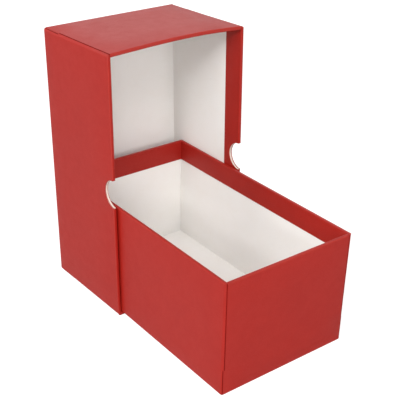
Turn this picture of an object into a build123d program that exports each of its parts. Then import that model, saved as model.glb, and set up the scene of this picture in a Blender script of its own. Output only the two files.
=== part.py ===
from build123d import *
import math
import os
from dataclasses import dataclass

# A two-piece rigid paperboard box for banknotes: a lid and a tray of the same depth that telescope together.
# The lid stands on its lower end with its open side forward. The tray lies in front, open side up, with its far
# end inside the lid and its near bottom edge on the table.
# Row frame: origin at the middle of the face that the lid stands on, +X right, +Y back, +Z up, millimetres.

# Lid outside sizes
lid_length = 177.8
lid_width = 101.6
lid_depth = 76.2

# Tray
tray_depth = 76.2
side_clearance = 0.5
end_clearance = 0.5

# Stock
board_thickness = 1.7
stay_thickness = 0.12
paper_thickness = 0.18

# Covering
corner_radius = 1.5
ear_length = 14.0
flap_margin = 1.5
lid_turn_in = 15.0
tray_turn_in = 14.4
stay_reach = 11.0

# Thumb notches
notch_radius = 9.5

# How the two halves lie together
room_behind_tray = 8.5
lift_gap = 0.4

# Layers of a wall, counted inwards from the outside
side_board_inset = paper_thickness + stay_thickness
side_inner_inset = side_board_inset + board_thickness
side_rim_inset = side_inner_inset + paper_thickness
end_board_inset = 2 * paper_thickness + stay_thickness
end_inner_inset = end_board_inset + board_thickness
end_rim_inset = end_inner_inset + paper_thickness
floor_level = paper_thickness + board_thickness


@dataclass(frozen=True)
class Half:
    """One open half of the box, lying open side up: length along Y from 0, width about X = 0, floor on Z = 0."""

    name: str
    length: float
    width: float
    depth: float
    turn_in: float
    ends: tuple
    notched: bool


lid = Half(
    name="lid",
    length=lid_length,
    width=lid_width,
    depth=lid_depth,
    turn_in=lid_turn_in,
    ends=("lower", "upper"),
    notched=True,
)
tray = Half(
    name="tray",
    length=lid_length - 2 * (end_rim_inset + end_clearance),
    width=lid_width - 2 * (side_rim_inset + side_clearance),
    depth=tray_depth,
    turn_in=tray_turn_in,
    ends=("near", "far"),
    notched=False,
)


def slab(x_range, y_range, z_range):
    """A plain block between the given corners."""
    sizes = [high - low for low, high in (x_range, y_range, z_range)]
    middle = [(low + high) / 2 for low, high in (x_range, y_range, z_range)]
    return Pos(*middle) * Box(*sizes)


def layer_block(half, side_inset, end_inset, z_range):
    """The half's outline, set in by one layer, with its upright corners rounded, between two heights."""
    radius = corner_radius - side_inset
    outline = RectangleRounded(half.width - 2 * side_inset, half.length - 2 * end_inset, radius)
    return Pos(0, half.length / 2, z_range[0]) * extrude(outline, amount=z_range[1] - z_range[0])


def side_zone(half, inset, side):
    """Everything on one long side that lies less than the inset from the outside."""
    edge = half.width / 2
    x_range = (edge - inset, edge) if side == "right" else (-edge, inset - edge)
    return slab(x_range, (0, half.length), (0, half.depth))


def end_zone(half, inset, end):
    """Everything at one end that lies less than the inset from the outside."""
    y_range = (0, inset) if end == half.ends[0] else (half.length - inset, half.length)
    return slab((-half.width / 2, half.width / 2), y_range, (0, half.depth))


def both_sides(half, inset):
    return side_zone(half, inset, "left") + side_zone(half, inset, "right")


def notch_cutter(half):
    """A bar across both long walls, centred on their free edge at mid-length."""
    bar = Cylinder(notch_radius, half.width, rotation=(0, 90, 0))
    return Pos(0, half.length / 2, half.depth) * bar


def floor_board(half):
    return layer_block(half, side_board_inset, end_board_inset, (paper_thickness, floor_level))


def wall_block(half):
    """The four board walls as one solid block, from the floor board up to under the turned-over paper."""
    return layer_block(half, side_board_inset, end_board_inset, (floor_level, half.depth - paper_thickness))


def side_board(half, side):
    board = wall_block(half) & side_zone(half, side_inner_inset, side)
    if half.notched:
        board -= notch_cutter(half)
    return board


def end_board(half, end):
    between_sides = wall_block(half) - both_sides(half, side_inner_inset)
    return between_sides & end_zone(half, end_inner_inset, end)


def corner_stay(half, end, side):
    """A strip of paper tape folded round one upright corner of the boards."""
    z_range = (paper_thickness, half.depth - paper_thickness)
    outside = layer_block(half, paper_thickness, 2 * paper_thickness, z_range)
    inside = layer_block(half, side_board_inset, end_board_inset, z_range)
    at_side = side_zone(half, stay_reach, side)
    return (outside - inside) & at_side & end_zone(half, stay_reach, end)


def turn_in_strip(half, side):
    """The paper glued down inside one long wall, from the rim down."""
    inner = half.width / 2 - side_inner_inset
    x_range = (inner - paper_thickness, inner)
    if side == "left":
        x_range = (-x_range[1], -x_range[0])
    y_range = (end_inner_inset, half.length - end_inner_inset)
    return slab(x_range, y_range, (half.depth - half.turn_in, half.depth))


def cover_sheet(half):
    """One sheet over the floor and both long walls, with ears round the corners and its edges turned in."""
    rim_underside = half.depth - paper_thickness
    outside = layer_block(half, 0, paper_thickness, (0, rim_underside))
    inside = layer_block(half, paper_thickness, 2 * paper_thickness, (0, rim_underside))
    walls_and_ears = (outside - inside) & both_sides(half, ear_length)
    floor_skin = layer_block(half, 0, paper_thickness, (0, paper_thickness))
    rims = layer_block(half, 0, paper_thickness, (rim_underside, half.depth)) & both_sides(half, side_rim_inset)
    sheet = walls_and_ears + floor_skin + rims + turn_in_strip(half, "left") + turn_in_strip(half, "right")
    if half.notched:
        sheet -= notch_cutter(half)
    return sheet


def end_flap(half, end):
    """The sheet's flap over one end, a little narrower than the box, turned over the rim and glued down inside."""
    outer_half_width = half.width / 2 - flap_margin
    inner_half_width = half.width / 2 - side_rim_inset
    inner_x = (-inner_half_width, inner_half_width)
    outside = slab((-outer_half_width, outer_half_width), (0, paper_thickness), (0, half.depth))
    rim = slab(inner_x, (0, end_rim_inset), (half.depth - paper_thickness, half.depth))
    turned_in = slab(inner_x, (end_inner_inset, end_rim_inset), (half.depth - half.turn_in, half.depth))
    flap = outside + rim + turned_in
    if end == half.ends[1]:
        flap = Pos(0, half.length, 0) * Rot(0, 0, 180) * flap
    return flap


def half_pieces(half):
    """Every piece of one half, by node name, in the half's own frame."""
    flat_board = "panel_board" if half is lid else "floor_board"
    pieces = {flat_board: floor_board(half), "cover_sheet": cover_sheet(half)}
    for side in ("left", "right"):
        pieces[f"{side}_side_board"] = side_board(half, side)
    for end in half.ends:
        pieces[f"{end}_end_board"] = end_board(half, end)
        pieces[f"{end}_end_flap"] = end_flap(half, end)
        for side in ("left", "right"):
            pieces[f"{end}_{side}_stay"] = corner_stay(half, end, side)
    return {f"{half.name}_{name}": piece for name, piece in pieces.items()}


def lid_place():
    """Stands the lid on its lower end, open side forward, its lower end face centred on the origin."""
    return Pos(0, lid_depth / 2, 0) * Rot(90, 0, 0)


def tray_place():
    """Lays the tray with its near bottom edge on the table and its far end propped just above the lid's lower rim."""
    length_in_lid = lid_depth - floor_level - room_behind_tray
    length_in_front = tray.length - length_in_lid
    tilt = math.degrees(math.atan2(end_rim_inset + lift_gap, length_in_front))
    return Pos(0, -lid_depth / 2 - length_in_front, 0) * Rot(tilt, 0, 0)


def main():
    os.makedirs("parts", exist_ok=True)
    for half, place in ((lid, lid_place()), (tray, tray_place())):
        for name, piece in half_pieces(half).items():
            export_step(place * piece, f"parts/{name}.step")


main()
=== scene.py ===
"""Finishes a two-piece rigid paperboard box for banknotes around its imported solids.

The lid stands on its lower end with its open side forward. The tray lies in front of it, open side up,
with its far end inside the lid. Each half is made of white board panels, taped at the corners and covered
in red paper that is turned over the rim. Everything is in metres, in the row frame: +X right, +Y back,
+Z up.
"""

import logging
import math
from collections.abc import Callable, Iterable, Iterator
from contextlib import contextmanager
from dataclasses import dataclass, field
from enum import Enum

import bmesh
import bpy
from mathutils import Matrix, Vector


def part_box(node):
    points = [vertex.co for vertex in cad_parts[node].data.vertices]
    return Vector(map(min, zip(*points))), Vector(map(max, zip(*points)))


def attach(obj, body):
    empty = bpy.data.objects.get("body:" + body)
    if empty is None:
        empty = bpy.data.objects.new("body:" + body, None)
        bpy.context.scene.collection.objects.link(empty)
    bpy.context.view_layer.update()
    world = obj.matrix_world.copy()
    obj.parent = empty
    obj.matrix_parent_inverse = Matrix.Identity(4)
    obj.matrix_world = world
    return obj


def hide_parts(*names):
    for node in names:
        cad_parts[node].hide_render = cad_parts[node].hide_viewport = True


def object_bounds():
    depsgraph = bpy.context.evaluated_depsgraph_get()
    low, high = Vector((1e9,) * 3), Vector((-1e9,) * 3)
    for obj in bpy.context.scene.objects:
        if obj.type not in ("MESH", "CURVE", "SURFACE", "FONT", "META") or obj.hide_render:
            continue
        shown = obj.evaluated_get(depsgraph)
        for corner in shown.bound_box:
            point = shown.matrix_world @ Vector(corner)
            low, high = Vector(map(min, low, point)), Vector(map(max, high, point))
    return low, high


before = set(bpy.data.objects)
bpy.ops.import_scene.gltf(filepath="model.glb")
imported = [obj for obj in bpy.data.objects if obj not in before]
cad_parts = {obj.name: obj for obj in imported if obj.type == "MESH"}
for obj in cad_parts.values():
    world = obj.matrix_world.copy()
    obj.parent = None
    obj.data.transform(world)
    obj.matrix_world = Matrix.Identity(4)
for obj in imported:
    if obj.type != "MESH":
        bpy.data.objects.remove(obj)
cad_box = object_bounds()

log = logging.getLogger("currency_box")
MM = 0.001
HAIR = 0.001 * MM
SAME_PLACE = 0.02 * MM
ACROSS, ALONG, UP = Vector((1, 0, 0)), Vector((0, 1, 0)), Vector((0, 0, 1))
CORNER_STEPS, RIM_STEPS, FOLD_STEPS, NOTCH_STEPS = 6, 4, 5, 96
CUTS_ACROSS, CUTS_ALONG, CUTS_UP = 11, 14, 5

Colour = tuple[float, float, float, float]
Piece = bpy.types.Object
Pieces = dict[str, Piece]
Socket = bpy.types.NodeSocket
Sockets = dict[str | int, object]
Test = Callable[[Vector], bool]
Tree = bpy.types.NodeTree


class Part(Enum):
    """The kind of mesh element that a selection works on."""

    EDGE = "EDGE"
    FACE = "FACE"


class Slot(Enum):
    """The record's material slots."""

    COVER = "cover_paper"
    BOARD = "white_board"
    STAY = "stay_paper"

    @classmethod
    def of(cls, node: str) -> "Slot":
        """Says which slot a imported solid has.

        Args:
            node: The solid's name.

        Returns:
            Its slot.
        """
        if node.endswith("board"):
            return cls.BOARD
        return cls.STAY if node.endswith("stay") else cls.COVER


class Side(Enum):
    """The two long walls of a half, by the sign of their X."""

    LEFT = -1
    RIGHT = 1


def near(value: float, target: float) -> bool:
    """Says whether two coordinates are the same place."""
    return abs(value - target) < SAME_PLACE


def at(x: float | None = None, y: float | None = None, z: float | None = None) -> Test:
    """Gives a test for the places that have the given coordinates."""
    wanted = [(axis, value) for axis, value in enumerate((x, y, z)) if value is not None]
    return lambda place: all(near(place[axis], value) for axis, value in wanted)


def choose(piece: Piece) -> None:
    """Makes one piece the active object and the only selected one.

    Args:
        piece: The piece.
    """
    bpy.ops.object.select_all(action="DESELECT")
    bpy.context.view_layer.objects.active = piece
    piece.select_set(True)


def settle_in_mesh(piece: Piece) -> None:
    """Takes a piece's place, turn and scale into its mesh, so that its object stays at the origin."""
    choose(piece)
    bpy.ops.object.transform_apply(location=True, rotation=True, scale=True)


@contextmanager
def editing(piece: Piece) -> Iterator[None]:
    """Opens one piece in edit mode with nothing selected, and closes it again.

    Args:
        piece: The mesh to edit.
    """
    choose(piece)
    bpy.ops.object.mode_set(mode="EDIT")
    bpy.ops.mesh.select_mode(type=Part.FACE.value)
    bpy.ops.mesh.select_all(action="DESELECT")
    yield
    bpy.ops.object.mode_set(mode="OBJECT")


def pick(piece: Piece, part: Part, test: Test) -> int:
    """Selects, in edit mode, the elements whose corners all pass a test of their place.

    Args:
        piece: The mesh in edit mode.
        part: The element to select.
        test: Says whether a corner at this place belongs.

    Returns:
        How many elements were selected.
    """
    bpy.ops.mesh.select_mode(type=part.value)
    bpy.ops.mesh.select_all(action="DESELECT")
    shape = bmesh.from_edit_mesh(piece.data)
    elements = shape.edges if part is Part.EDGE else shape.faces
    found = [element for element in elements if all(test(corner.co) for corner in element.verts)]
    for element in found:
        element.select_set(True)
    bmesh.update_edit_mesh(piece.data)
    return len(found)


def add_block(name: str, low: Vector, high: Vector) -> Piece:
    """Adds a block between two corners, with its place in its mesh.

    Args:
        name: The object's name.
        low: The lowest corner.
        high: The highest corner.

    Returns:
        The new object.
    """
    bpy.ops.object.select_all(action="DESELECT")
    bpy.ops.mesh.primitive_cube_add(size=1, location=(low + high) / 2)
    block = bpy.context.object
    block.name = name
    block.scale = high - low
    settle_in_mesh(block)
    return block


def cut_across(piece: Piece, axis: Vector, places: Iterable[float]) -> None:
    """Cuts the whole mesh square to an axis at each place along it, and keeps both sides.

    Args:
        piece: The mesh to cut.
        axis: The direction that the cuts are square to.
        places: Distances along the axis from the origin.
    """
    with editing(piece):
        for place in places:
            bpy.ops.mesh.select_all(action="SELECT")
            bpy.ops.mesh.bisect(plane_co=axis * place, plane_no=axis)


def remove_faces(piece: Piece, test: Test) -> None:
    """Deletes the faces whose corners all pass a test of their place.

    Args:
        piece: The mesh to change.
        test: Says whether a face's corner at this place belongs.
    """
    with editing(piece):
        if pick(piece, Part.FACE, test):
            bpy.ops.mesh.delete(type="FACE")


def pull_edges(piece: Piece, test: Test, move: Vector) -> None:
    """Extrudes the edges whose ends pass a test of their place.

    Args:
        piece: The mesh to change.
        test: Says whether an edge's end at this place belongs.
        move: Where the new edges go.
    """
    with editing(piece):
        pick(piece, Part.EDGE, test)
        bpy.ops.mesh.extrude_region_move(TRANSFORM_OT_translate={"value": move})


def round_edges(piece: Piece, test: Test, radius: float, segments: int) -> None:
    """Rounds the edges whose ends pass a test of their place.

    Args:
        piece: The mesh to change.
        test: Says whether an edge's end at this place belongs.
        radius: The radius of the round.
        segments: How many faces the round has.
    """
    with editing(piece):
        pick(piece, Part.EDGE, test)
        bpy.ops.mesh.bevel(offset=radius, offset_type="OFFSET", segments=segments, affect="EDGES")


def finish_modifier(piece: Piece, kind: str, **settings: object) -> None:
    """Adds a modifier, sets it and applies it.

    Args:
        piece: The mesh that gets it.
        kind: Blender's name for the modifier.
        settings: The modifier's own settings.
    """
    modifier = piece.modifiers.new(kind.lower(), kind)
    for name, value in settings.items():
        setattr(modifier, name, value)
    choose(piece)
    bpy.ops.object.modifier_apply(modifier=modifier.name)


def spread(low: float, high: float, count: int) -> list[float]:
    """Gives evenly spaced places between two ends, without the ends."""
    return [low + (high - low) * step / (count + 1) for step in range(1, count + 1)]


class NodeBench:
    """Places and links shader nodes in one node tree."""

    def __init__(self, tree: Tree) -> None:
        """Takes the tree to work in."""
        self.tree = tree

    def add(self, kind: str, inputs: Sockets | None = None, **settings: object) -> bpy.types.Node:
        """Adds a node.

        Args:
            kind: The node's type name.
            inputs: A value or an output socket for each input, by its name or number.
            settings: The node's own settings.

        Returns:
            The new node.
        """
        node = self.tree.nodes.new(kind)
        for name, value in settings.items():
            setattr(node, name, value)
        for name, value in (inputs or {}).items():
            self.feed(node.inputs[name], value)
        return node

    def feed(self, socket: Socket, value: object) -> None:
        """Sets an input, or links another node's output to it.

        Args:
            socket: The input.
            value: Its value or the output.
        """
        if isinstance(value, Socket):
            self.tree.links.new(value, socket)
        else:
            socket.default_value = value

    def effect(self, group: Tree, given: Sockets) -> bpy.types.NodeOutputs:
        """Adds a shared group, fed with those of the given inputs that it has, and gives its outputs."""
        inputs = {item.name: given[item.name] for item in group.interface.items_tree if item.name in given}
        return self.add("ShaderNodeGroup", inputs, node_tree=group).outputs

    def maths(self, operation: str, *values: object) -> Socket:
        """Works out one number from up to three numbers or sockets."""
        return self.add("ShaderNodeMath", dict(enumerate(values)), operation=operation).outputs[0]

    def vector_maths(self, operation: str, *values: object) -> Socket:
        """Works out one vector from one or two others."""
        return self.add("ShaderNodeVectorMath", dict(enumerate(values)), operation=operation).outputs[0]

    def axes(self, vector: Socket) -> bpy.types.NodeOutputs:
        """Takes a vector apart into its three numbers."""
        return self.add("ShaderNodeSeparateXYZ", {0: vector}).outputs

    def noise(self, place: Socket, scale: object, *look: float) -> Socket:
        """Adds a cloudy grey pattern of this scale and this detail, roughness and distortion."""
        names = ("Vector", "Scale", "Detail", "Roughness", "Distortion")
        return self.add("ShaderNodeTexNoise", dict(zip(names, (place, scale, *look)))).outputs["Fac"]

    def mix(self, share: object, first: object, second: object) -> Socket:
        """Mixes two colours, with this share of the second."""
        return self.add("ShaderNodeMix", {0: share, 6: first, 7: second}, data_type="RGBA").outputs[2]

    def remap(self, value: object, low: float, high: float, to_low: float, to_high: float) -> Socket:
        """Turns a value between low and high smoothly into one between to_low and to_high."""
        ranges = dict(enumerate((value, low, high, to_low, to_high)))
        return self.add("ShaderNodeMapRange", ranges, interpolation_type="SMOOTHSTEP").outputs[0]


class GroupBench(NodeBench):
    """A bench on a new node group with named inputs and outputs, which more than one material uses."""

    def __init__(self, name: str, vectors: tuple[str, ...], numbers: dict[str, float]) -> None:
        """Makes the group with its inputs.

        Args:
            name: The group's name.
            vectors: The inputs that are vectors.
            numbers: The inputs that are numbers, with their defaults.
        """
        super().__init__(bpy.data.node_groups.new(name, "ShaderNodeTree"))
        for vector in vectors:
            self.tree.interface.new_socket(vector, in_out="INPUT", socket_type="NodeSocketVector")
        for number, default in numbers.items():
            socket = self.tree.interface.new_socket(number, in_out="INPUT", socket_type="NodeSocketFloat")
            socket.default_value = default
        self.given = self.add("NodeGroupInput").outputs

    def give(self, results: dict[str, Socket]) -> Tree:
        """Makes and feeds the group's outputs.

        Args:
            results: What each output gives.

        Returns:
            The group's tree.
        """
        for name in results:
            self.tree.interface.new_socket(name, in_out="OUTPUT", socket_type="NodeSocketFloat")
        self.add("NodeGroupOutput", results)
        return self.tree


def fibre_group() -> Tree:
    """Builds the pressed-fibre grain of papers and boards: a fine tooth, small clouds and broad ones.

    Returns:
        The group's tree.
    """
    bench = GroupBench("pressed_fibre", ("Vector",), {"Tooth Scale": 2600.0, "Cloud Scale": 160.0})
    place, tooth_scale, cloud_scale = bench.given[:3]
    broad_scale = bench.maths("MULTIPLY", cloud_scale, 0.14)
    tooth = bench.noise(place, tooth_scale, 3.0, 0.6)
    clouds = bench.noise(place, cloud_scale, 5.0, 0.62, 0.4)
    broad = bench.noise(place, broad_scale, 2.0)
    return bench.give({"Tooth": tooth, "Clouds": clouds, "Broad": broad})


def edge_wear_and_highlight_group() -> Tree:
    """Builds the mask of a box's outer edges, for rub wear and a painted edge highlight: 1 on its outer
    edges, fading with the distance from them.

    Returns:
        The group's tree.
    """
    bench = GroupBench("rubbed_edges", ("Vector", "Half Size"), {"Width": 1.0 * MM, "Break Up": 0.5})
    place, half_size, width, break_up = bench.given[:4]
    beyond = bench.axes(bench.vector_maths("SUBTRACT", bench.vector_maths("ABSOLUTE", place), half_size))
    lower = bench.maths("MINIMUM", beyond[0], beyond[1])
    upper = bench.maths("MAXIMUM", beyond[0], beyond[1])
    middle = bench.maths("MAXIMUM", lower, bench.maths("MINIMUM", upper, beyond[2]))
    ragged = bench.remap(bench.noise(place, 420.0, 4.0, 0.7), 0.3, 0.7, 0.0, 1.0)
    kept = bench.maths("SUBTRACT", 1.0, bench.maths("MULTIPLY", break_up, ragged))
    share = bench.maths("DIVIDE", middle, width)
    fade = bench.remap(bench.maths("ADD", share, 1.0), 0.0, 1.0, 0.0, 1.0)
    return bench.give({"Mask": bench.maths("MULTIPLY", fade, kept)})


def seam_glue_and_shade_group() -> Tree:
    """Builds the mask of the dark line along both side edges of the flaps at the two ends of a box: painted
    shade of the crevice under each flap's edge, partly the glued join itself.

    Returns:
        The group's tree.
    """
    end_skin = 0.8 * MM
    numbers = {"Margin": 1.5 * MM, "Root Step": 0.7 * MM, "Root Height": 15.0 * MM, "Width": 0.3 * MM}
    bench = GroupBench("flap_seams", ("Vector", "Half Size"), numbers)
    place, half_size, full_margin, root_step, root_height, width = bench.given[:6]
    inwards = bench.axes(bench.vector_maths("SUBTRACT", half_size, bench.vector_maths("ABSOLUTE", place)))
    height = bench.maths("ADD", bench.axes(place)[2], bench.axes(half_size)[2])
    step = bench.maths("MULTIPLY", bench.maths("LESS_THAN", height, root_height), root_step)
    margin = bench.maths("SUBTRACT", full_margin, step)
    away = bench.maths("ABSOLUTE", bench.maths("SUBTRACT", inwards[0], margin))
    line = bench.remap(bench.maths("DIVIDE", away, width), 0.3, 1.0, 1.0, 0.0)
    at_end = bench.maths("LESS_THAN", inwards[1], end_skin)
    return bench.give({"Mask": bench.maths("MULTIPLY", line, at_end)})


def punch_group() -> Tree:
    """Builds the masks of the thumb notches: the raw cut, and the dye dragged over its two borders.

    Returns:
        The group's tree.
    """
    slack = 0.08 * MM
    numbers = {"Radius": 0.0, "Wall Middle": 0.0, "Wall Half": 1.0 * MM}
    bench = GroupBench("punched_cut", ("Vector", "Half Size"), numbers)
    place, half_size, radius, wall_middle, wall_half = bench.given[:5]
    x, y, z = bench.axes(place)
    drop = bench.maths("SUBTRACT", z, bench.axes(half_size)[2])
    away = bench.maths("SQRT", bench.maths("MULTIPLY_ADD", drop, drop, bench.maths("MULTIPLY", y, y)))
    cut = bench.maths("LESS_THAN", away, bench.maths("ADD", radius, slack))
    off_middle = bench.maths("SUBTRACT", bench.maths("ABSOLUTE", x), wall_middle)
    share = bench.maths("DIVIDE", bench.maths("ABSOLUTE", off_middle), wall_half)
    patches = bench.noise(place, 900.0, 3.0)
    ragged = bench.maths("MULTIPLY_ADD", patches, 0.3, bench.maths("SUBTRACT", share, 0.15))
    border = bench.remap(ragged, 0.45, 0.85, 0.0, 1.0)
    return bench.give({"Cut": cut, "Dragged": bench.maths("MULTIPLY", cut, border)})


@dataclass(frozen=True)
class Effects:
    """The shader node groups, built once."""

    fibre: Tree
    edges: Tree
    seams: Tree
    punch: Tree


@dataclass(frozen=True)
class Setting:
    """A half's middle and turn, and the sizes that the effects take, by the names of their inputs."""

    name: str
    centre: Vector
    tilt: float
    sizes: Sockets


class MaterialBench(NodeBench):
    """A bench on a new material whose pattern is centred on a half and turned with it."""

    def __init__(self, name: str, setting: Setting) -> None:
        """Makes the material.

        Args:
            name: What it is called after the half's name.
            setting: The half's middle, turn and sizes.
        """
        self.material = bpy.data.materials.new(f"{setting.name}_{name}")
        self.material.use_nodes = True
        super().__init__(self.material.node_tree)
        self.shader = self.tree.nodes["Principled BSDF"]
        seen = self.add("ShaderNodeTexCoord").outputs["Object"]
        turned = {"Vector": seen, "Location": setting.centre, "Rotation": (setting.tilt, 0, 0)}
        self.place = self.add("ShaderNodeMapping", turned, vector_type="TEXTURE").outputs["Vector"]
        self.given = setting.sizes | {"Vector": self.place}


@dataclass(frozen=True)
class Surface:
    """What a finish works out for every place: colour, roughness and the height of its relief."""

    colour: Socket
    roughness: Socket
    relief: Socket


@dataclass(frozen=True)
class Finish:
    """What every finish of this box shares."""

    slot: Slot
    colour: Colour
    roughness: float
    shine: float
    tooth_height: float

    def surface(self, bench: MaterialBench, effects: Effects) -> Surface:
        """Works out the finish with the material's nodes."""
        raise NotImplementedError

    def material(self, effects: Effects, setting: Setting) -> bpy.types.Material:
        """Makes the finish's material for one half.

        Args:
            effects: The shared node groups.
            setting: The half's middle, turn and sizes.

        Returns:
            The material.
        """
        bench = MaterialBench(self.slot.value, setting)
        surface = self.surface(bench, effects)
        raised = {"Strength": 1.0, "Distance": self.tooth_height, "Height": surface.relief}
        fed = {
            "Base Color": surface.colour,
            "Roughness": surface.roughness,
            "Specular IOR Level": self.shine,
            "Normal": bench.add("ShaderNodeBump", raised).outputs["Normal"],
        }
        for name, value in fed.items():
            bench.feed(bench.shader.inputs[name], value)
        return bench.material


@dataclass(frozen=True)
class CoverPaper(Finish):
    """Red cover paper: a fine tooth, faint clouds in the dye, and a paler outer edge that is partly rub wear
    and partly a painted highlight.
    """

    rubbed: Colour
    deep: Colour
    tooth_scale: float
    rub_width: float
    rub_and_highlight_strength: float
    seam: Colour
    seam_glue_and_shade_strength: float

    def surface(self, bench: MaterialBench, effects: Effects) -> Surface:
        """Works out the paper. It is darker and less shiny along each flap's side edges, which is painted
        shade of the crevice there and partly the glued join itself. It is paler on the outer edges, partly
        from rub wear and partly as a painted highlight.

        Args:
            bench: The material's bench.
            effects: The shared node groups.

        Returns:
            The paper's surface.
        """
        fibre = bench.effect(effects.fibre, bench.given | {"Tooth Scale": self.tooth_scale})
        edges = bench.effect(effects.edges, bench.given | {"Width": self.rub_width})
        seams = bench.effect(effects.seams, bench.given)
        clouds = bench.remap(fibre["Clouds"], 0.3, 0.7, 0.0, 0.5)
        broad = bench.remap(fibre["Broad"], 0.3, 0.7, 0.0, 0.35)
        dye = bench.mix(bench.maths("ADD", clouds, broad), self.colour, self.deep)
        toned = bench.mix(bench.remap(fibre["Tooth"], 0.35, 0.75, 0.0, 0.22), dye, self.rubbed)
        # Paler red along the outer edges: partly rub wear, partly a painted edge highlight.
        worn_and_highlit = bench.mix(bench.maths("MULTIPLY", edges["Mask"], self.rub_and_highlight_strength), toned, self.rubbed)
        # Painted shade of the crevice along each flap's side edge, partly the glued join: the colour goes
        # darker and the shine weaker there.
        glue_and_shade_share = bench.maths("MULTIPLY", seams["Mask"], self.seam_glue_and_shade_strength)
        dulled = bench.maths("MULTIPLY_ADD", glue_and_shade_share, -self.shine, self.shine)
        bench.feed(bench.shader.inputs["Specular IOR Level"], dulled)
        roughness = bench.maths("MULTIPLY_ADD", fibre["Clouds"], 0.14, self.roughness - 0.07)
        return Surface(
            colour=bench.mix(glue_and_shade_share, worn_and_highlit, self.seam),
            roughness=bench.maths("MULTIPLY_ADD", edges["Mask"], 0.08, roughness),
            relief=bench.maths("MULTIPLY_ADD", fibre["Clouds"], 0.6, fibre["Tooth"]),
        )


@dataclass(frozen=True)
class WhiteBoard(Finish):
    """White set-up board: a chalky face with faint warm clouds and a few grey fibres."""

    warm: Colour
    fleck: Colour
    core: Colour
    dragged: Colour
    tooth_scale: float
    cloud_scale: float

    def surface(self, bench: MaterialBench, effects: Effects) -> Surface:
        """Works out the board, with its raw core and some dragged dye where the notches are cut.

        Args:
            bench: The material's bench.
            effects: The shared node groups.

        Returns:
            The board's surface.
        """
        scales = {"Tooth Scale": self.tooth_scale, "Cloud Scale": self.cloud_scale}
        fibre = bench.effect(effects.fibre, bench.given | scales)
        punch = bench.effect(effects.punch, bench.given)
        clouds = bench.remap(fibre["Clouds"], 0.35, 0.7, 0.0, 0.6)
        broad = bench.remap(fibre["Broad"], 0.3, 0.7, 0.0, 0.4)
        face = bench.mix(bench.maths("ADD", clouds, broad), self.colour, self.warm)
        flecks = bench.remap(bench.noise(bench.place, 1100.0, 2.0, 0.8), 0.66, 0.74, 0.0, 0.3)
        raw = bench.mix(punch["Cut"], bench.mix(flecks, face, self.fleck), self.core)
        return Surface(
            colour=bench.mix(punch["Dragged"], raw, self.dragged),
            roughness=bench.maths("MULTIPLY_ADD", fibre["Clouds"], 0.1, self.roughness - 0.05),
            relief=bench.maths("MULTIPLY_ADD", fibre["Clouds"], 1.2, fibre["Tooth"]),
        )


@dataclass(frozen=True)
class StayPaper(Finish):
    """Plain brown gummed paper for the corner stays."""

    streak: Colour

    def surface(self, bench: MaterialBench, effects: Effects) -> Surface:
        """Works out the paper, streaked like kraft.

        Args:
            bench: The material's bench.
            effects: The shared node groups.

        Returns:
            The paper's surface.
        """
        fibre = bench.effect(effects.fibre, bench.given)
        streaks = bench.remap(fibre["Clouds"], 0.3, 0.7, 0.0, 0.8)
        return Surface(
            colour=bench.mix(streaks, self.colour, self.streak),
            roughness=bench.maths("MULTIPLY_ADD", fibre["Tooth"], 0.2, self.roughness - 0.1),
            relief=fibre["Tooth"],
        )


RED_PAPER = CoverPaper(
    slot=Slot.COVER,
    colour=(0.352, 0.008, 0.003, 1.0),
    deep=(0.316, 0.006, 0.002, 1.0),
    # Paler red of rub wear, also painted as an edge highlight and mixed into the tooth.
    rubbed=(0.450, 0.060, 0.045, 1.0),
    roughness=0.50,
    shine=0.30,
    tooth_scale=2600.0,
    tooth_height=0.025 * MM,
    rub_width=0.9 * MM,
    rub_and_highlight_strength=0.35,
    # Dark red along the flaps' side edges: painted crevice shade, partly the glued join.
    seam=(0.130, 0.002, 0.001, 1.0),
    seam_glue_and_shade_strength=0.85,
)
CHALKY_BOARD = WhiteBoard(
    slot=Slot.BOARD,
    colour=(0.890, 0.876, 0.852, 1.0),
    warm=(0.876, 0.855, 0.820, 1.0),
    fleck=(0.520, 0.490, 0.440, 1.0),
    core=(0.700, 0.620, 0.540, 1.0),
    dragged=(0.440, 0.110, 0.090, 1.0),
    roughness=0.86,
    shine=0.30,
    tooth_scale=1800.0,
    tooth_height=0.03 * MM,
    cloud_scale=90.0,
)
BROWN_STAY = StayPaper(
    slot=Slot.STAY,
    colour=(0.45, 0.32, 0.19, 1.0),
    streak=(0.36, 0.25, 0.14, 1.0),
    roughness=0.7,
    shine=0.3,
    tooth_height=0.02 * MM,
)
FINISHES = (RED_PAPER, CHALKY_BOARD, BROWN_STAY)


@dataclass(frozen=True)
class Push:
    """A soft bulge of one wall: how many millimetres its free edge stands out at five points along it."""

    wall: str
    amounts: tuple[float, float, float, float, float]


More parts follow.
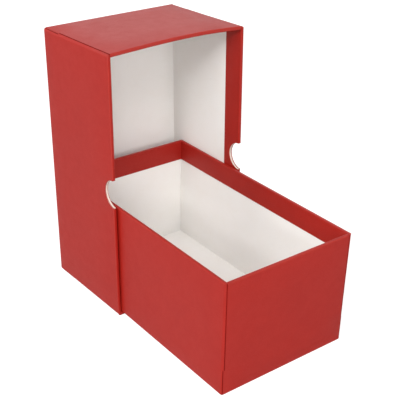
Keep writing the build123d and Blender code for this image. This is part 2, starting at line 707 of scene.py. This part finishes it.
@dataclass
class Half:
    """One half of the box, worked in its own frame: open side up, length along Y from 0, width about X = 0.

    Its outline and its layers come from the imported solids, and the rest are the paper's and the folds' own.
    """

    name: str
    flat_board: str
    ends: tuple[str, str]
    turn_in: float
    pushes: tuple[Push, ...] = ()
    notch_radius: float = 0.0
    place: Matrix = field(init=False)
    flap_margin: float = 1.5 * MM
    root_step: float = 0.7 * MM
    root_height: float = 17.5 * MM
    ear_length: float = 14.0 * MM
    stay_reach: float = 11.0 * MM
    corner_radius: float = 2.0 * MM
    fold_radius: float = 0.6 * MM
    rim_radius: float = 0.45 * MM
    board_edge: float = 0.15 * MM
    board_round_limit: float = 0.95
    fold_share: float = 0.99
    shoulder: float = 0.3 * MM
    bow_rise: tuple[float, float, float] = (0.0, 0.38, 1.0)
    cage_slack: float = 1.0001
    punch_reach: float = 2.4

    def __post_init__(self) -> None:
        """Reads the half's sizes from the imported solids, in the half's own frame."""
        self.place = self.find_place()
        cover_low, cover_high = self.box_of("cover_sheet")
        flap_low, _ = self.box_of(f"{self.ends[0]}_end_flap")
        _, flap_high = self.box_of(f"{self.ends[1]}_end_flap")
        flat_low, flat_high = self.box_of(self.flat_board)
        side_low, side_high = self.box_of("right_side_board")
        end_low, end_high = self.box_of(f"{self.ends[0]}_end_board")
        self.half_width = cover_high.x
        self.depth = cover_high.z
        self.length = flap_high.y - flap_low.y
        self.paper = flat_low.z
        self.board = flat_high.z - flat_low.z
        self.floor_level = flat_high.z
        self.side_board_inset = self.half_width - side_high.x
        self.side_inner_inset = self.half_width - side_low.x
        self.end_board_inset = end_low.y
        self.end_inner_inset = end_high.y
        self.side_rim_inset = self.side_inner_inset + self.paper
        self.end_rim_inset = self.end_inner_inset + self.paper
        self.tape = self.side_board_inset - self.paper
        self.board_top = self.depth - self.paper

    def find_place(self) -> Matrix:
        """Gives the turn and move from the half's own frame to the row frame."""
        raise NotImplementedError

    def named(self, *words: str) -> str:
        """Joins the half's name and a part's words to one name."""
        return "_".join((self.name, *words))

    def node(self, part: str) -> Piece:
        """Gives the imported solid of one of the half's parts."""
        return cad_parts[self.named(part)]

    def box_of(self, part: str) -> tuple[Vector, Vector]:
        """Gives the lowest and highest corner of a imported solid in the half's own frame.

        Args:
            part: The node's name without the half's.

        Returns:
            The lowest and the highest corner.
        """
        back = self.place.inverted()
        corners = [back @ vertex.co for vertex in self.node(part).data.vertices]
        low = Vector(min(corner[axis] for corner in corners) for axis in range(3))
        high = Vector(max(corner[axis] for corner in corners) for axis in range(3))
        return low, high

    def setting(self) -> Setting:
        """Gives the half's middle, turn and sizes for its materials.

        Returns:
            The setting.
        """
        sizes = {
            "Half Size": Vector((self.half_width, self.length / 2, self.depth / 2)),
            "Margin": self.flap_margin,
            "Root Step": self.root_step,
            "Root Height": self.root_height,
            "Radius": self.notch_radius,
            "Wall Middle": self.half_width - (self.side_board_inset + self.side_inner_inset) / 2,
            "Wall Half": self.board / 2,
        }
        centre = self.place @ Vector((0, self.length / 2, self.depth / 2))
        return Setting(self.name, centre, self.place.to_euler().x, sizes)

    def bend_cuts(self, piece: Piece, across: int, along: int, up: int) -> None:
        """Cuts a piece finely enough to follow a bowed wall.

        Args:
            piece: The mesh to cut.
            across: Cuts over the width.
            along: Cuts over the length.
            up: Cuts over the depth.
        """
        reach = self.half_width - self.ear_length
        cut_across(piece, ACROSS, spread(-reach, reach, across))
        cut_across(piece, ALONG, spread(self.ear_length, self.length - self.ear_length, along))
        cut_across(piece, UP, spread(self.floor_level, self.depth - self.turn_in, up))

    def panel(
        self, name: str, low: Vector, high: Vector, rounded: tuple[float, ...] = (), corner: float = 0.0
    ) -> Piece:
        """Models a board with softened edges.

        Args:
            name: Its name after the half's.
            low: Its lowest corner.
            high: Its highest corner.
            rounded: The X of each side whose upright corners are rounded.
            corner: The radius of that round.

        Returns:
            The board.
        """
        board = add_block(self.named(name), low, high)
        for side_x in rounded:
            for end_y in (low.y, high.y):
                round_edges(board, at(x=side_x, y=end_y), corner, CORNER_STEPS)
        sharp = {"limit_method": "ANGLE", "angle_limit": math.radians(50)}
        finish_modifier(board, "BEVEL", width=self.board_edge, segments=2, **sharp)
        return board

    def side_board(self, side: Side) -> Piece:
        """Models one long wall's board, rounded at its upright corners.

        Args:
            side: Which long wall.

        Returns:
            The board.
        """
        inner = side.value * (self.half_width - self.side_inner_inset)
        outer = side.value * (self.half_width - self.side_board_inset)
        low = Vector((min(inner, outer), self.end_board_inset, self.floor_level))
        high = Vector((max(inner, outer), self.length - self.end_board_inset, self.board_top))
        corner = min(self.corner_radius - self.side_board_inset, self.board * self.board_round_limit)
        board = self.panel(f"{side.name.lower()}_side_panel", low, high, (outer,), corner)
        self.bend_cuts(board, across=0, along=CUTS_ALONG, up=CUTS_UP)
        return board

    def end_board(self, end: str) -> Piece:
        """Models one short wall's board, which stands between the long ones.

        Args:
            end: The end's name.

        Returns:
            The board.
        """
        near_y, far_y = self.end_board_inset, self.end_inner_inset
        if end == self.ends[1]:
            near_y, far_y = self.length - far_y, self.length - near_y
        inner = self.half_width - self.side_inner_inset
        low, high = Vector((-inner, near_y, self.floor_level)), Vector((inner, far_y, self.board_top))
        board = self.panel(f"{end}_end_panel", low, high)
        self.bend_cuts(board, across=CUTS_ACROSS, along=0, up=CUTS_UP)
        return board

    def flat_panel(self) -> Piece:
        """Models the large board that the walls stand on.

        Returns:
            The board.
        """
        outer = self.half_width - self.side_board_inset
        low = Vector((-outer, self.end_board_inset, self.paper))
        high = Vector((outer, self.length - self.end_board_inset, self.floor_level))
        name = self.flat_board.replace("_board", "_panel")
        board = self.panel(name, low, high, (-outer, outer), self.corner_radius - self.side_board_inset)
        self.bend_cuts(board, across=7, along=9, up=0)
        return board

    def stay(self, end: str, side: Side) -> Piece:
        """Models the tape round one upright corner of the boards.

        Args:
            end: The end's name.
            side: Which long wall it reaches.

        Returns:
            The stay.
        """
        outer_x = side.value * (self.half_width - self.paper)
        reach_x = side.value * (self.half_width - self.stay_reach)
        corner_y, reach_y = 2 * self.paper, 2 * self.paper + self.stay_reach
        if end == self.ends[1]:
            corner_y, reach_y = self.length - corner_y, self.length - reach_y
        low = Vector((min(reach_x, outer_x), min(corner_y, reach_y), self.paper))
        high = Vector((max(reach_x, outer_x), max(corner_y, reach_y), self.board_top))
        stay = add_block(self.named(end, side.name.lower(), "tape"), low, high)
        for open_face in (at(z=low.z), at(z=high.z), at(x=reach_x), at(y=reach_y)):
            remove_faces(stay, open_face)
        round_edges(stay, at(x=outer_x, y=corner_y), self.corner_radius - self.paper, CORNER_STEPS)
        self.bend_cuts(stay, across=0, along=0, up=CUTS_UP)
        self.thicken(stay, self.tape)
        return stay

    def thicken(self, piece: Piece, thickness: float) -> None:
        """Gives a modelled outer face its paper thickness, inwards."""
        finish_modifier(piece, "SOLIDIFY", thickness=thickness, offset=-1.0, use_even_offset=True)

    def cover(self) -> Piece:
        """Models the cover sheet: floor, long walls, ears round the corners, rims and turned-in strips.

        Returns:
            The sheet.
        """
        low = Vector((-self.half_width, self.paper, 0))
        high = Vector((self.half_width, self.length - self.paper, self.depth))
        sheet = add_block(self.named("cover"), low, high)
        self.round_box(sheet, high.z)
        rim_x = self.half_width - self.side_rim_inset
        ear_x = self.half_width - self.ear_length
        near_y, far_y = self.end_inner_inset, self.length - self.end_inner_inset

        def between_ears(place: Vector) -> bool:
            """Says whether a place lies at an end, between the ears, where the flap takes over."""
            on_floor = low.y + self.fold_radius - HAIR < place.y < high.y - self.fold_radius + HAIR
            return abs(place.x) < ear_x + HAIR and not on_floor

        def rim_edge(place: Vector) -> bool:
            """Says whether a place is on the inner edge of a long wall's rim."""
            inside = near_y - HAIR < place.y < far_y + HAIR
            return inside and near(abs(place.x), rim_x) and near(place.z, self.depth)

        cut_across(sheet, ACROSS, (-rim_x, -ear_x, ear_x, rim_x))
        lip = self.depth - self.rim_radius
        remove_faces(sheet, lambda place: abs(place.x) < rim_x + HAIR and place.z > lip - HAIR)
        remove_faces(sheet, between_ears)
        cut_across(sheet, ALONG, (near_y, far_y))
        pull_edges(sheet, rim_edge, -self.turn_in * UP)
        round_edges(sheet, rim_edge, self.rim_radius, RIM_STEPS)
        self.bend_cuts(sheet, across=CUTS_ACROSS, along=CUTS_ALONG, up=CUTS_UP)
        self.thicken(sheet, self.paper)
        return sheet

    def round_box(self, box: Piece, top: float) -> None:
        """Rounds a block's upright corners, bottom folds and rim, each with its own radius.

        Args:
            box: The block.
            top: The height of its rim.
        """
        with editing(box):
            shape = bmesh.from_edit_mesh(box.data)
            layer = shape.edges.layers.float.new("bevel_weight_edge")
            for edge in shape.edges:
                heights = [corner.co.z for corner in edge.verts]
                radius = self.rim_radius if near(heights[0], top) else self.fold_radius
                if not near(*heights):
                    radius = self.corner_radius
                edge[layer] = radius / self.corner_radius
            bmesh.update_edit_mesh(box.data)
        settings = {"limit_method": "WEIGHT", "offset_type": "OFFSET"}
        finish_modifier(box, "BEVEL", width=self.corner_radius, segments=CORNER_STEPS, **settings)

    def flap(self, end: str) -> Piece:
        """Models the sheet's flap over one end: up from the bottom fold, over the rim and down inside.

        Args:
            end: The end's name.

        Returns:
            The flap.
        """
        outer = self.half_width - self.flap_margin
        rim_x = self.half_width - self.side_rim_inset
        root_y = self.paper + self.fold_radius
        low, high = Vector((-outer, 0, 0)), Vector((outer, root_y, self.depth))
        flap = add_block(self.named(end, "flap"), low, high)

        def outer_rim(place: Vector) -> bool:
            """Says whether a place is on the rim's outer edge, where the sheet turns over the wall."""
            return near(place.z, self.depth) and near(place.y, 0) and abs(place.x) < rim_x + HAIR

        for open_face in (at(y=root_y), at(x=-outer), at(x=outer), at(z=self.depth)):
            remove_faces(flap, open_face)
        cut_across(flap, ACROSS, (-rim_x, rim_x))
        inner_rim = at(y=self.end_rim_inset, z=self.depth)
        pull_edges(flap, outer_rim, self.end_rim_inset * ALONG)
        pull_edges(flap, inner_rim, -self.turn_in * UP)
        round_edges(flap, inner_rim, self.rim_radius, RIM_STEPS)
        round_edges(flap, outer_rim, self.rim_radius, RIM_STEPS)
        round_edges(flap, at(y=0, z=0), self.paper + self.fold_radius * self.fold_share, FOLD_STEPS)
        self.bend_cuts(flap, across=CUTS_ACROSS, along=0, up=CUTS_UP)
        self.shape_sides(flap, outer)
        self.thicken(flap, self.paper)
        if end == self.ends[1]:
            flap.matrix_world = Matrix.Translation(self.length * ALONG) @ Matrix.Rotation(math.pi, 4, "Z")
            settle_in_mesh(flap)
        return flap

    def shape_sides(self, flap: Piece, outer: float) -> None:
        """Bends a flap's side edges back round the corners, and steps them out below a small shoulder.

        Args:
            flap: The flap, still a sheet without thickness.
            outer: How far its side edges stand from the middle.
        """
        root_top, rest_foot = self.root_height - self.shoulder, self.root_height + self.shoulder
        cut_across(flap, UP, (root_top, rest_foot))
        for side in Side:
            for low, high, step in ((-HAIR, root_top, self.root_step), (rest_foot, self.depth, 0.0)):

                def side_edge(place: Vector) -> bool:
                    """Says whether a place is on the side edge of this stretch of the flap."""
                    in_stretch = low - HAIR < place.z < high + HAIR
                    return in_stretch and near(place.x, side.value * outer) and place.y < HAIR

                move = (side.value * step, self.corner_drop(outer + step), 0)
                with editing(flap):
                    pick(flap, Part.EDGE, side_edge)
                    bpy.ops.transform.translate(value=move)

    def corner_drop(self, out: float) -> float:
        """Says how far the rounded corner lies back from the end face, this far out from the middle."""
        past = max(0.0, out - (self.half_width - self.corner_radius))
        return self.corner_radius - math.sqrt(self.corner_radius**2 - past**2)

    def notch_cutter(self) -> Piece:
        """Models the punch that takes the thumb notches out of both long walls at once.

        Returns:
            The punch, a bar that reaches past both walls.
        """
        bpy.ops.object.select_all(action="DESELECT")
        bpy.ops.mesh.primitive_cylinder_add(
            vertices=NOTCH_STEPS,
            radius=self.notch_radius,
            depth=self.punch_reach * self.half_width,
            location=(0, self.length / 2, self.depth),
            rotation=(0, math.radians(90), 0),
        )
        punch = bpy.context.object
        punch.name = self.named("punch")
        settle_in_mesh(punch)
        return punch

    def bow_cage(self) -> Piece:
        """Makes the lattice that bows the walls, five points along each wall and three up it.

        Returns:
            The lattice object, a hair larger than the half.
        """
        size = Vector((2 * self.half_width, self.length, self.depth))
        bpy.ops.object.select_all(action="DESELECT")
        bpy.ops.object.add(type="LATTICE", location=(0, self.length / 2, self.depth / 2))
        cage = bpy.context.object
        cage.name = self.named("bow")
        cage.scale = size * self.cage_slack
        lattice = cage.data
        lattice.points_u, lattice.points_v, lattice.points_w = 5, 5, 3
        lattice.interpolation_type_u = lattice.interpolation_type_v = "KEY_CATMULL_ROM"
        lattice.interpolation_type_w = "KEY_LINEAR"
        for push in self.pushes:
            at_end = push.wall in self.ends
            axis = 1 if at_end else 0
            fixed, outward = (4, 1) if push.wall in ("right", self.ends[1]) else (0, -1)
            for step, amount in enumerate(push.amounts):
                u, v = (step, fixed) if at_end else (fixed, step)
                for level, share in enumerate(self.bow_rise):
                    point = lattice.points[u + 5 * v + 25 * level]
                    moved = point.co_deform.copy()
                    moved[axis] += outward * amount * MM * share / size[axis]
                    point.co_deform = moved
        return cage

    def build(self) -> Pieces:
        """Models every piece of the half in its own frame.

        Returns:
            The pieces, by the name of the solid that each replaces.
        """
        pieces = {self.named(self.flat_board): self.flat_panel(), self.named("cover_sheet"): self.cover()}
        for side in Side:
            pieces[self.named(side.name.lower(), "side_board")] = self.side_board(side)
        if self.notch_radius:
            punch = self.notch_cutter()
            for part in ("cover_sheet", "left_side_board", "right_side_board"):
                walled = pieces[self.named(part)]
                finish_modifier(walled, "BOOLEAN", object=punch, operation="DIFFERENCE", solver="EXACT")
            bpy.data.objects.remove(punch)
        for end in self.ends:
            pieces[self.named(end, "end_board")] = self.end_board(end)
            pieces[self.named(end, "end_flap")] = self.flap(end)
            for side in Side:
                pieces[self.named(end, side.name.lower(), "stay")] = self.stay(end, side)
        return pieces

    def settle(self, pieces: Pieces) -> None:
        """Bows the walls, turns every piece into the row frame, and makes it ride on its body.

        Args:
            pieces: The pieces, by the name of the solid that each replaces.
        """
        cage = self.bow_cage()
        for node, piece in pieces.items():
            finish_modifier(piece, "LATTICE", object=cage)
            piece.matrix_world = self.place
            settle_in_mesh(piece)
            bpy.ops.object.shade_smooth_by_angle(angle=math.radians(35))
            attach(piece, self.name)
            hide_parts(node)
        bpy.data.objects.remove(cage)

    def dress(self, pieces: Pieces, effects: Effects) -> None:
        """Gives every piece its finish.

        Args:
            pieces: The pieces, by the name of the solid that each replaces.
            effects: The shared node groups.
        """
        setting = self.setting()
        materials = {finish.slot: finish.material(effects, setting) for finish in FINISHES}
        for node, piece in pieces.items():
            slot = Slot.of(node)
            piece.data.materials.clear()
            piece.data.materials.append(materials[slot])
            log.info("%s: %d faces, %s", piece.name, len(piece.data.polygons), slot.value)

    def make(self, effects: Effects) -> None:
        """Builds, settles and dresses the whole half.

        Args:
            effects: The shared node groups.
        """
        pieces = self.build()
        self.settle(pieces)
        self.dress(pieces, effects)
        log.info("%s: %d pieces", self.name, len(pieces))


@dataclass
class Lid(Half):
    """The half that stands on its lower end, open side forward, with a thumb notch in each long wall."""

    def find_place(self) -> Matrix:
        """Stands the half on its lower end with its panel at the back.

        Returns:
            The turn and move to the row frame.
        """
        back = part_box("lid_cover_sheet")[1].y
        return Matrix.Translation((0, back, 0)) @ Matrix.Rotation(math.radians(90), 4, "X")


@dataclass
class Tray(Half):
    """The half that lies in front, its near bottom edge on the table and its far end inside the lid."""

    def find_place(self) -> Matrix:
        """Finds how far the floor board is tilted and where the near bottom edge touches the table.

        Returns:
            The turn and move to the row frame.
        """
        faces, corners = self.node("floor_board").data.polygons, self.node("near_end_flap").data.vertices
        up = max((face.normal for face in faces), key=lambda normal: normal.z)
        foot = min((corner.co for corner in corners), key=lambda place: place.z)
        tilt = math.atan2(-up.y, up.z)
        return Matrix.Translation((0, foot.y, 0)) @ Matrix.Rotation(tilt, 4, "X")


@dataclass(frozen=True)
class Lamp:
    """A square soft box that looks at the object from a side and a height."""

    name: str
    azimuth: float
    elevation: float
    size: float
    level: float
    distance: float = 2.2

    def place(self, target: Vector) -> None:
        """Hangs the lamp and turns it to the target.

        Args:
            target: The point that it lights.
        """
        turn, rise = math.radians(self.azimuth), math.radians(self.elevation)
        away = Vector((math.sin(turn) * math.cos(rise), -math.cos(turn) * math.cos(rise), math.sin(rise)))
        light = bpy.data.lights.new(self.name, "AREA")
        light.shape = "SQUARE"
        light.size = self.size
        light.energy = self.level * (math.pi * self.distance) ** 2
        lamp = bpy.data.objects.new(self.name, light)
        lamp.location = target + away * self.distance
        lamp.rotation_mode = "QUATERNION"
        lamp.rotation_quaternion = away.to_track_quat("Z", "Y")
        bpy.context.scene.collection.objects.link(lamp)


@dataclass(frozen=True)
class Studio:
    """The pale floor, the surroundings, the lamps and the camera, whose place is in millimetres."""

    floor_size: float = 8.0
    floor_drop: float = 0.2 * MM
    floor_colour: Colour = (0.65, 0.65, 0.65, 1.0)
    seen_colour: Colour = (0.5, 0.5, 0.5, 1.0)
    floor_lift: float = 0.74
    lift_fade: tuple[float, float] = (0.3, 1.2)
    surround_level: float = 0.19
    lamps: tuple[Lamp, ...] = (
        Lamp("key_box", -30, 45, 0.97, 0.41),
        Lamp("side_box", -60, 45, 0.97, 0.28),
        Lamp("back_box", -117, 35, 0.97, 0.39),
        Lamp("left_spot", -60, 25, 0.27, 0.19),
        Lamp("front_spot", -31, 18, 0.58, 0.20),
        Lamp("low_box", 0, 10, 0.72, 0.17),
        Lamp("rear_box", 146, 30, 0.97, 0.065),
    )
    focal_length: float = 82.57
    camera_place: tuple[float, float, float] = (-316.8, -476.2, 337.8)
    camera_yaw: float = 0.6504
    camera_pitch: float = 0.4590
    camera_roll: float = 0.0035

    def floor(self) -> None:
        """Lays the floor, white to the camera and pale to all else, with the object's shadow on it."""
        bpy.ops.object.select_all(action="DESELECT")
        bpy.ops.mesh.primitive_plane_add(size=self.floor_size, location=(0, 0, -self.floor_drop))
        floor = bpy.context.object
        floor.name = "floor"
        material = bpy.data.materials.new("pale_floor")
        material.use_nodes = True
        material.node_tree.nodes.clear()
        bench = NodeBench(material.node_tree)
        ray = bench.add("ShaderNodeLightPath")
        place = bench.add("ShaderNodeTexCoord").outputs["Object"]
        away = bench.add("ShaderNodeVectorMath", {0: place}, operation="LENGTH").outputs["Value"]
        strength = bench.remap(away, *self.lift_fade, self.floor_lift, 1.0)
        pale = bench.add("ShaderNodeBsdfDiffuse", {"Color": self.floor_colour})
        seen = bench.add("ShaderNodeBsdfDiffuse", {"Color": self.seen_colour})
        lift = bench.add("ShaderNodeEmission", {"Color": (1, 1, 1, 1), "Strength": strength})
        white = bench.add("ShaderNodeAddShader", {0: seen.outputs[0], 1: lift.outputs[0]})
        sides = {0: ray.outputs["Is Camera Ray"], 1: pale.outputs[0], 2: white.outputs[0]}
        shown = bench.add("ShaderNodeMixShader", sides)
        bench.add("ShaderNodeOutputMaterial", {"Surface": shown.outputs[0]})
        floor.data.materials.append(material)

    def surroundings(self) -> None:
        """Makes the world white to the camera and to reflections, and a soft fill to everything else."""
        world = bpy.data.worlds.new("white_surroundings")
        bpy.context.scene.world = world
        world.use_nodes = True
        bench = NodeBench(world.node_tree)
        background = world.node_tree.nodes["Background"]
        background.inputs["Color"].default_value = (1, 1, 1, 1)
        ray = bench.add("ShaderNodeLightPath")
        shown = bench.maths("MAXIMUM", ray.outputs["Is Camera Ray"], ray.outputs["Is Glossy Ray"])
        shown = bench.maths("MAXIMUM", shown, ray.outputs["Is Transmission Ray"])
        level = bench.add("ShaderNodeMapRange", {0: shown, 3: self.surround_level, 4: 1.0})
        bench.feed(background.inputs["Strength"], level.outputs[0])

    def camera(self) -> None:
        """Stands the camera where the photograph was taken from."""
        data = bpy.data.cameras.new("camera")
        data.lens = self.focal_length
        data.sensor_width = 36.0
        data.clip_start, data.clip_end = 0.01, 50.0
        camera = bpy.data.objects.new("camera", data)
        yaw, pitch, roll = self.camera_yaw, self.camera_pitch, self.camera_roll
        ahead = Vector((math.sin(yaw) * math.cos(pitch), math.cos(yaw) * math.cos(pitch), -math.sin(pitch)))
        right = Vector((math.cos(yaw), -math.sin(yaw), 0))
        up = right.cross(ahead)
        across = math.cos(roll) * right + math.sin(roll) * up
        above = -math.sin(roll) * right + math.cos(roll) * up
        turn = Matrix((across, above, -ahead)).transposed().to_4x4()
        camera.matrix_world = Matrix.Translation(Vector(self.camera_place) * MM) @ turn
        bpy.context.scene.collection.objects.link(camera)
        bpy.context.scene.camera = camera

    def build(self) -> None:
        """Sets up the whole studio round the object."""
        scene = bpy.context.scene
        scene.view_settings.view_transform = "Standard"
        self.camera()
        self.surroundings()
        self.floor()
        low, high = cad_box
        for lamp in self.lamps:
            lamp.place((low + high) / 2)


def main() -> None:
    """Builds the studio and both halves of the box."""
    logging.basicConfig(level=logging.INFO, format="%(name)s: %(message)s")
    Studio().build()
    effects = Effects(fibre=fibre_group(), edges=edge_wear_and_highlight_group(), seams=seam_glue_and_shade_group(), punch=punch_group())
    lid = Lid(
        name="lid",
        flat_board="panel_board",
        ends=("lower", "upper"),
        turn_in=15.0 * MM,
        notch_radius=9.5 * MM,
        corner_radius=2.4 * MM,
        pushes=(
            Push("upper", (1.2, 2.3, 3.0, 2.7, 1.2)),
            Push("right", (0.0, 0.1, 0.2, 0.3, 0.4)),
            Push("left", (0.0, 0.2, 0.2, 0.1, 0.0)),
        ),
    )
    tray = Tray(
        name="tray",
        flat_board="floor_board",
        ends=("near", "far"),
        turn_in=14.4 * MM,
        pushes=(
            Push("right", (1.2, 0.9, 0.5, 0.2, 0.0)),
            Push("left", (-0.4, -0.5, -0.5, -0.3, 0.0)),
        ),
    )
    for half in (lid, tray):
        half.make(effects)


if __name__ == "__main__":
    main()
